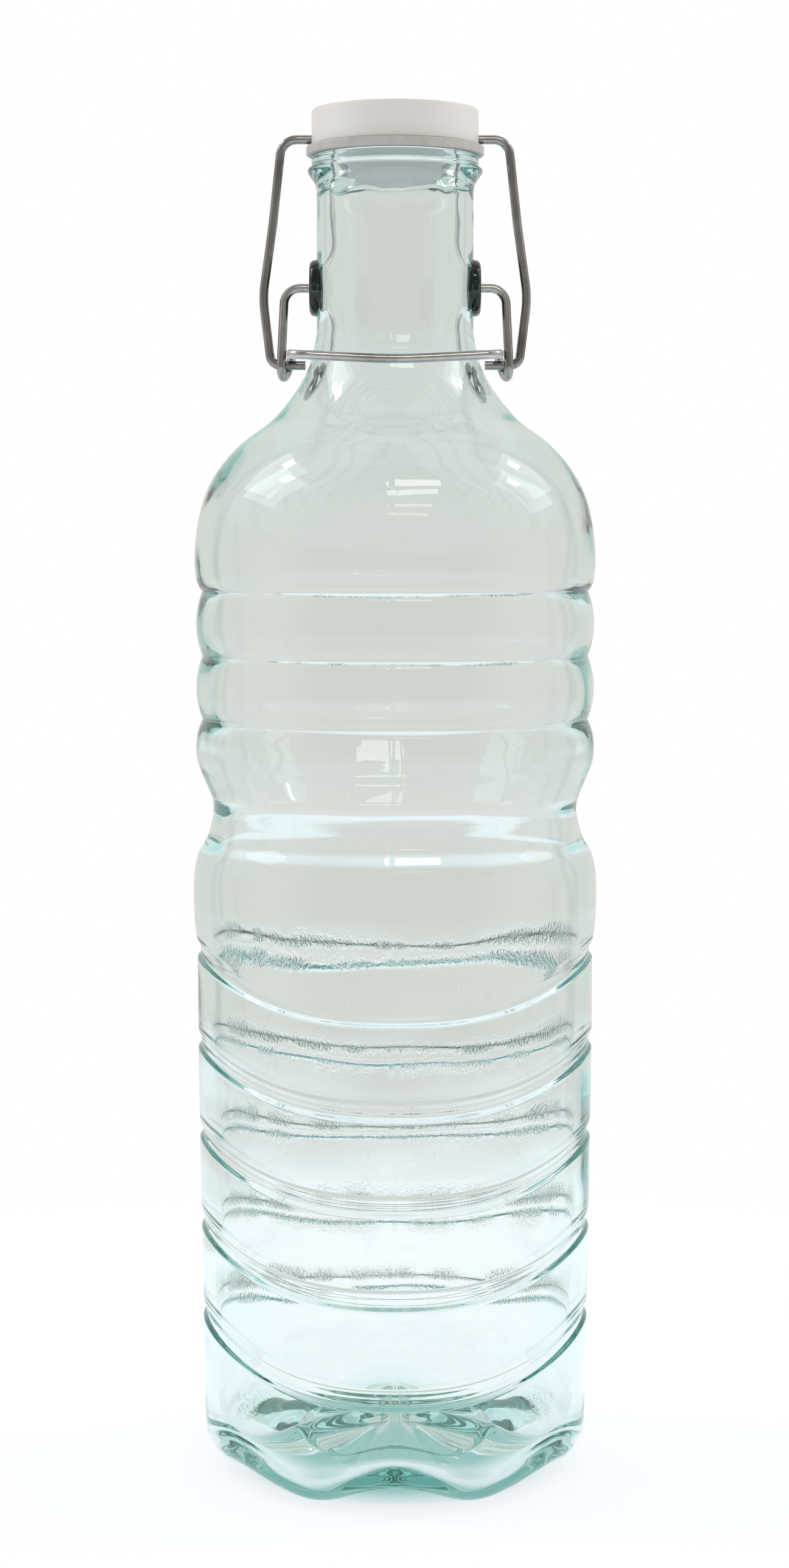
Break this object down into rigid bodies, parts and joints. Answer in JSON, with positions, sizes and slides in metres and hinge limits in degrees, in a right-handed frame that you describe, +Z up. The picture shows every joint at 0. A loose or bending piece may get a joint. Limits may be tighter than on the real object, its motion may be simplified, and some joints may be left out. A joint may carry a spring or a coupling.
{
  "type": "growler",
  "caption": "Tall swing-top bottle of pale green glass with ring and swag grooves, a footed base, and a white cap clamped on its gasket by a wire bail and lever.",
  "frame": {"origin": "centre of the base, on the plane of the feet", "axes": "+Z up along the bottle's axis; the lever's crossbar faces -Y; the pivots of lever, bail and cap run along X"},
  "size_m": [0.0952, 0.0952, 0.3198],
  "materials": {
    "glass": "moulded recycled glass, glossy with soft ripples",
    "cap_plastic": "white moulded plastic, satin",
    "gasket_rubber": "translucent grey silicone, matt",
    "wire_steel": "drawn steel wire, dull with faint brown stains"
  },
  "bodies": {
    "bottle": {"bottle": "glass"},
    "lever": {"lever_wire": "wire_steel"},
    "bail": {"bail_wire": "wire_steel"},
    "cap": {"stopper": "cap_plastic", "gasket": "gasket_rubber"}
  },
  "joints": [
    {"name": "lever_turn", "type": "hinge", "parent": "bottle", "child": "lever", "pos_m": [0, 0, 0.2787], "axis": [-1, 0, 0], "range_deg": [0, 80]},
    {"name": "bail_swing", "type": "hinge", "parent": "lever", "child": "bail", "pos_m": [0, 0, 0.2608], "axis": [-1, 0, 0], "range_deg": [-52.6, 0]},
    {"name": "cap_tilt", "type": "hinge", "parent": "bail", "child": "cap", "pos_m": [0, 0, 0.313], "axis": [-1, 0, 0], "range_deg": [-27.5, 0]}
  ],
  "couplings": [
    {"joint": "bail_swing", "follows": "lever_turn", "ratio": -0.65709},
    {"joint": "cap_tilt", "follows": "lever_turn", "ratio": -0.34291}
  ]
}
